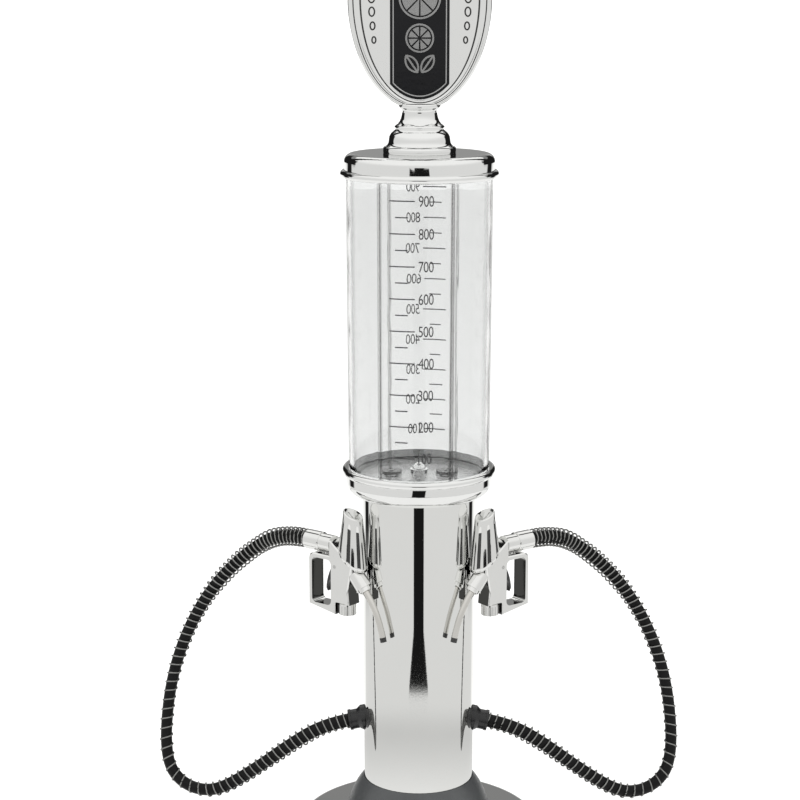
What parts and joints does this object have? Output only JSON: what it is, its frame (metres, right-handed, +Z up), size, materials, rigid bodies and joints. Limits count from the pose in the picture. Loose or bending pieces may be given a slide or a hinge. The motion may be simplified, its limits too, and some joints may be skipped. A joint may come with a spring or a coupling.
{
  "type": "drinks dispenser",
  "caption": "Table-top drinks dispenser shaped like an old filling-station pump: clear tank on a chrome column, with hose-fed trigger guns and an oval sign on the lid.",
  "frame": {"origin": "centre of the circle that the rubber feet stand on, at table height", "axes": "+Z up along the column; -Y is the front, where the sign faces; +X to the right-hand gun"},
  "size_m": [0.3352, 0.152, 0.5913],
  "materials": {
    "chrome_foot": "polished",
    "foot_rubber": "matte",
    "ballast_iron": "painted",
    "dome_grey": "satin",
    "chrome_column": "polished",
    "chrome_cup": "polished",
    "steel_fixings": "satin",
    "chrome_small": "polished",
    "seal_rubber": "translucent",
    "clear_tank": "clear",
    "gland_black": "satin",
    "hose_black": "satin",
    "chrome_lid": "polished",
    "chrome_sign": "polished",
    "window_black": "gloss",
    "emblem_line": "polished",
    "chrome_gun": "polished",
    "swivel_chrome": "polished",
    "spout_steel": "polished",
    "cap_chrome": "fluted",
    "trigger_black": "blackened",
    "plunger_steel": "satin"
  },
  "bodies": {
    "stand": {"foot_shell": "chrome_foot", "foot_pads": "foot_rubber", "ballast_plate": "ballast_iron", "ballast_screws": "steel_fixings", "base_dome": "dome_grey", "column_shell": "chrome_column", "tie_rod": "steel_fixings", "tie_nut": "steel_fixings", "cap_nut": "chrome_small", "upper_cup": "chrome_cup", "tank_gasket": "seal_rubber", "tank": "clear_tank", "outlet_spigots": "chrome_small", "gland_nuts": "gland_black", "hanger_screws": "steel_fixings", "inner_tube_left": "seal_rubber", "inner_tube_right": "seal_rubber", "hose_gland_left": "gland_black", "hose_gland_right": "gland_black", "hose_left": "hose_black", "hose_right": "hose_black", "hanger_left": "chrome_small", "hanger_right": "chrome_small"},
    "lid": {"lid_cap": "chrome_lid", "lid_seal": "seal_rubber", "pedestal": "chrome_lid", "pedestal_nut": "steel_fixings", "sign_body": "chrome_sign", "sign_window_front": "window_black", "sign_window_back": "window_black", "sign_emblem_front": "emblem_line", "sign_emblem_back": "emblem_line", "sign_rings": "chrome_sign", "sign_pin": "steel_fixings"},
    "gun_left": {"gun_left_body": "chrome_gun", "gun_left_hood": "chrome_gun", "gun_left_nozzle": "chrome_gun", "gun_left_spout": "spout_steel", "gun_left_spout_nut": "chrome_gun", "gun_left_connector": "chrome_gun", "gun_left_swivel_nut": "swivel_chrome", "gun_left_valve_cap": "cap_chrome", "gun_left_trigger_pin": "chrome_gun", "gun_left_hang_plate": "chrome_gun"},
    "trigger_left": {"gun_left_trigger": "trigger_black"},
    "plunger_left": {"gun_left_plunger": "plunger_steel"},
    "gun_right": {"gun_right_body": "chrome_gun", "gun_right_hood": "chrome_gun", "gun_right_nozzle": "chrome_gun", "gun_right_spout": "spout_steel", "gun_right_spout_nut": "chrome_gun", "gun_right_connector": "chrome_gun", "gun_right_swivel_nut": "swivel_chrome", "gun_right_valve_cap": "cap_chrome", "gun_right_trigger_pin": "chrome_gun", "gun_right_hang_plate": "chrome_gun"},
    "trigger_right": {"gun_right_trigger": "trigger_black"},
    "plunger_right": {"gun_right_plunger": "plunger_steel"}
  },
  "joints": [
    {"name": "lid_lift", "type": "slide", "parent": "stand", "child": "lid", "axis": [0, 0, 1], "range_m": [0, 0.06]},
    {"name": "gun_left_unhook", "type": "slide", "parent": "stand", "child": "gun_left", "axis": [0, 0, 1], "range_m": [0, 0.005], "deforming": ["hose_left"]},
    {"name": "gun_left_trigger", "type": "hinge", "parent": "gun_left", "child": "trigger_left", "pos_m": [-0.04855, -0.0129, 0.182], "axis": [-0.6157, -0.788, 0], "range_deg": [0, 12], "stiffness_Nm_per_rad": 0.05, "springref_deg": -5.73},
    {"name": "gun_left_valve", "type": "slide", "parent": "gun_left", "child": "plunger_left", "axis": [0.788, -0.6157, 0], "range_m": [0, 0.0023]},
    {"name": "gun_right_unhook", "type": "slide", "parent": "stand", "child": "gun_right", "axis": [0, 0, 1], "range_m": [0, 0.005], "deforming": ["hose_right"]},
    {"name": "gun_right_trigger", "type": "hinge", "parent": "gun_right", "child": "trigger_right", "pos_m": [0.04855, -0.0129, 0.182], "axis": [-0.6157, 0.788, 0], "range_deg": [0, 12], "stiffness_Nm_per_rad": 0.05, "springref_deg": -5.73},
    {"name": "gun_right_valve", "type": "slide", "parent": "gun_right", "child": "plunger_right", "axis": [-0.788, -0.6157, 0], "range_m": [0, 0.0023]}
  ],
  "couplings": [
    {"joint": "gun_left_valve", "follows": "gun_left_trigger", "m_per_rad": 0.0105},
    {"joint": "gun_right_valve", "follows": "gun_right_trigger", "m_per_rad": 0.0105}
  ]
}
